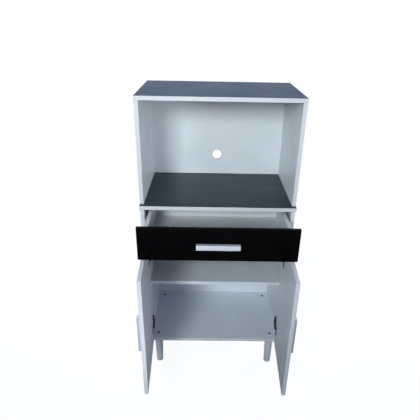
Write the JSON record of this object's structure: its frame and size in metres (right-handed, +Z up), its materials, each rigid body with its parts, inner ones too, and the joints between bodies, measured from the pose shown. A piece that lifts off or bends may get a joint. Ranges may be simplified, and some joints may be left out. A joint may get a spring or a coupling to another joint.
{
  "type": "microwave stand with drawer",
  "caption": "Tall narrow kitchen stand with an open niche for a microwave oven, a drawer and a two-door compartment, on round tapered legs.",
  "frame": {"origin": "on the floor, at the middle of the room that the stand takes up with its drawer pulled out and its doors open", "axes": "+Z up, -Y out of the front, +X to the right of a person facing the front"},
  "size_m": [0.6, 0.649, 1.242],
  "materials": {
    "black_laminate": "black melamine-faced particle board, satin",
    "white_laminate": "white melamine-faced particle board, satin",
    "white_edging": "white edge tape",
    "black_gloss": "black high-gloss lacquered board",
    "white_hardboard": "white-faced hardboard",
    "leg_paint": "turned wood leg, light grey-white lacquer",
    "aluminium": "satin anodised extrusion",
    "zinc_steel": "bright zinc-plated steel",
    "dark_steel": "dark nickel-plated pressed steel",
    "beech": "plain fluted beech",
    "white_plastic": "white moulded plastic",
    "black_plastic": "black moulded plastic",
    "soft_rubber": "translucent soft stud"
  },
  "bodies": {
    "carcass": {"back_screws": "zinc_steel", "bottom_panel": "white_laminate", "cam_bolts": "zinc_steel", "cam_caps": "white_plastic", "cam_locks": "zinc_steel", "door_bumpers": "soft_rubber", "dowels": "beech", "drawer_rail": "white_laminate", "fitting_screws": "dark_steel", "hinge_arms_left": "dark_steel", "hinge_arms_right": "dark_steel", "hinge_plates_left": "dark_steel", "hinge_plates_right": "dark_steel", "inner_shelf": "white_laminate", "leg_bolts": "dark_steel", "leg_front_left": "leg_paint", "leg_front_right": "leg_paint", "leg_glides": "black_plastic", "leg_rear_left": "leg_paint", "leg_rear_right": "leg_paint", "lower_back_panel": "white_hardboard", "lower_side_left": "white_laminate", "lower_side_right": "white_laminate", "mid_edge_band": "white_edging", "mid_panel": "black_laminate", "niche_back_panel": "white_hardboard", "shelf_pins": "white_plastic", "slide_outer_left": "zinc_steel", "slide_outer_right": "zinc_steel", "top_edge_band": "white_edging", "top_panel": "black_laminate", "upper_side_left": "white_laminate", "upper_side_right": "white_laminate"},
    "drawer": {"drawer_front": "black_gloss", "drawer_side_left": "white_laminate", "drawer_side_right": "white_laminate", "drawer_back": "white_laminate", "drawer_bottom": "white_hardboard", "drawer_cams": "zinc_steel", "drawer_screws": "zinc_steel", "drawer_handle": "aluminium", "slide_inner_left": "zinc_steel", "slide_inner_right": "zinc_steel"},
    "slide_middle_left_body": {"slide_middle_left": "zinc_steel"},
    "slide_middle_right_body": {"slide_middle_right": "zinc_steel"},
    "outer_cage_left_body": {"outer_ball_cage_left": "zinc_steel"},
    "outer_cage_right_body": {"outer_ball_cage_right": "zinc_steel"},
    "inner_cage_left_body": {"inner_ball_cage_left": "zinc_steel"},
    "inner_cage_right_body": {"inner_ball_cage_right": "zinc_steel"},
    "left_door": {"door_left": "white_laminate", "hinge_cups_left": "dark_steel", "hinge_pins_left": "dark_steel", "door_screws_left": "dark_steel", "door_handle_left": "aluminium"},
    "right_door": {"door_right": "white_laminate", "hinge_cups_right": "dark_steel", "hinge_pins_right": "dark_steel", "door_screws_right": "dark_steel", "door_handle_right": "aluminium"}
  },
  "joints": [
    {"name": "drawer_slide", "type": "slide", "parent": "carcass", "child": "drawer", "axis": [0, -1, 0], "range_m": [-0.1455, 0.1345]},
    {"name": "middle_slide_left", "type": "slide", "parent": "carcass", "child": "slide_middle_left_body", "axis": [0, -1, 0], "range_m": [-0.07275, 0.06725]},
    {"name": "outer_cage_roll_left", "type": "slide", "parent": "carcass", "child": "outer_cage_left_body", "axis": [0, -1, 0], "range_m": [-0.03637, 0.03363]},
    {"name": "inner_cage_roll_left", "type": "slide", "parent": "carcass", "child": "inner_cage_left_body", "axis": [0, -1, 0], "range_m": [-0.10912, 0.10088]},
    {"name": "middle_slide_right", "type": "slide", "parent": "carcass", "child": "slide_middle_right_body", "axis": [0, -1, 0], "range_m": [-0.07275, 0.06725]},
    {"name": "outer_cage_roll_right", "type": "slide", "parent": "carcass", "child": "outer_cage_right_body", "axis": [0, -1, 0], "range_m": [-0.03637, 0.03363]},
    {"name": "inner_cage_roll_right", "type": "slide", "parent": "carcass", "child": "inner_cage_right_body", "axis": [0, -1, 0], "range_m": [-0.10912, 0.10088]},
    {"name": "left_door_hinge", "type": "hinge", "parent": "carcass", "child": "left_door", "pos_m": [-0.2825, -0.04301, 0.415], "axis": [0, 0, -1], "range_deg": [-87.4, 12.6]},
    {"name": "right_door_hinge", "type": "hinge", "parent": "carcass", "child": "right_door", "pos_m": [0.2825, -0.04301, 0.415], "axis": [0, 0, 1], "range_deg": [-87.4, 12.6]}
  ],
  "couplings": [
    {"joint": "middle_slide_left", "follows": "drawer_slide", "ratio": 0.5},
    {"joint": "outer_cage_roll_left", "follows": "drawer_slide", "ratio": 0.25},
    {"joint": "inner_cage_roll_left", "follows": "drawer_slide", "ratio": 0.75},
    {"joint": "middle_slide_right", "follows": "drawer_slide", "ratio": 0.5},
    {"joint": "outer_cage_roll_right", "follows": "drawer_slide", "ratio": 0.25},
    {"joint": "inner_cage_roll_right", "follows": "drawer_slide", "ratio": 0.75}
  ]
}
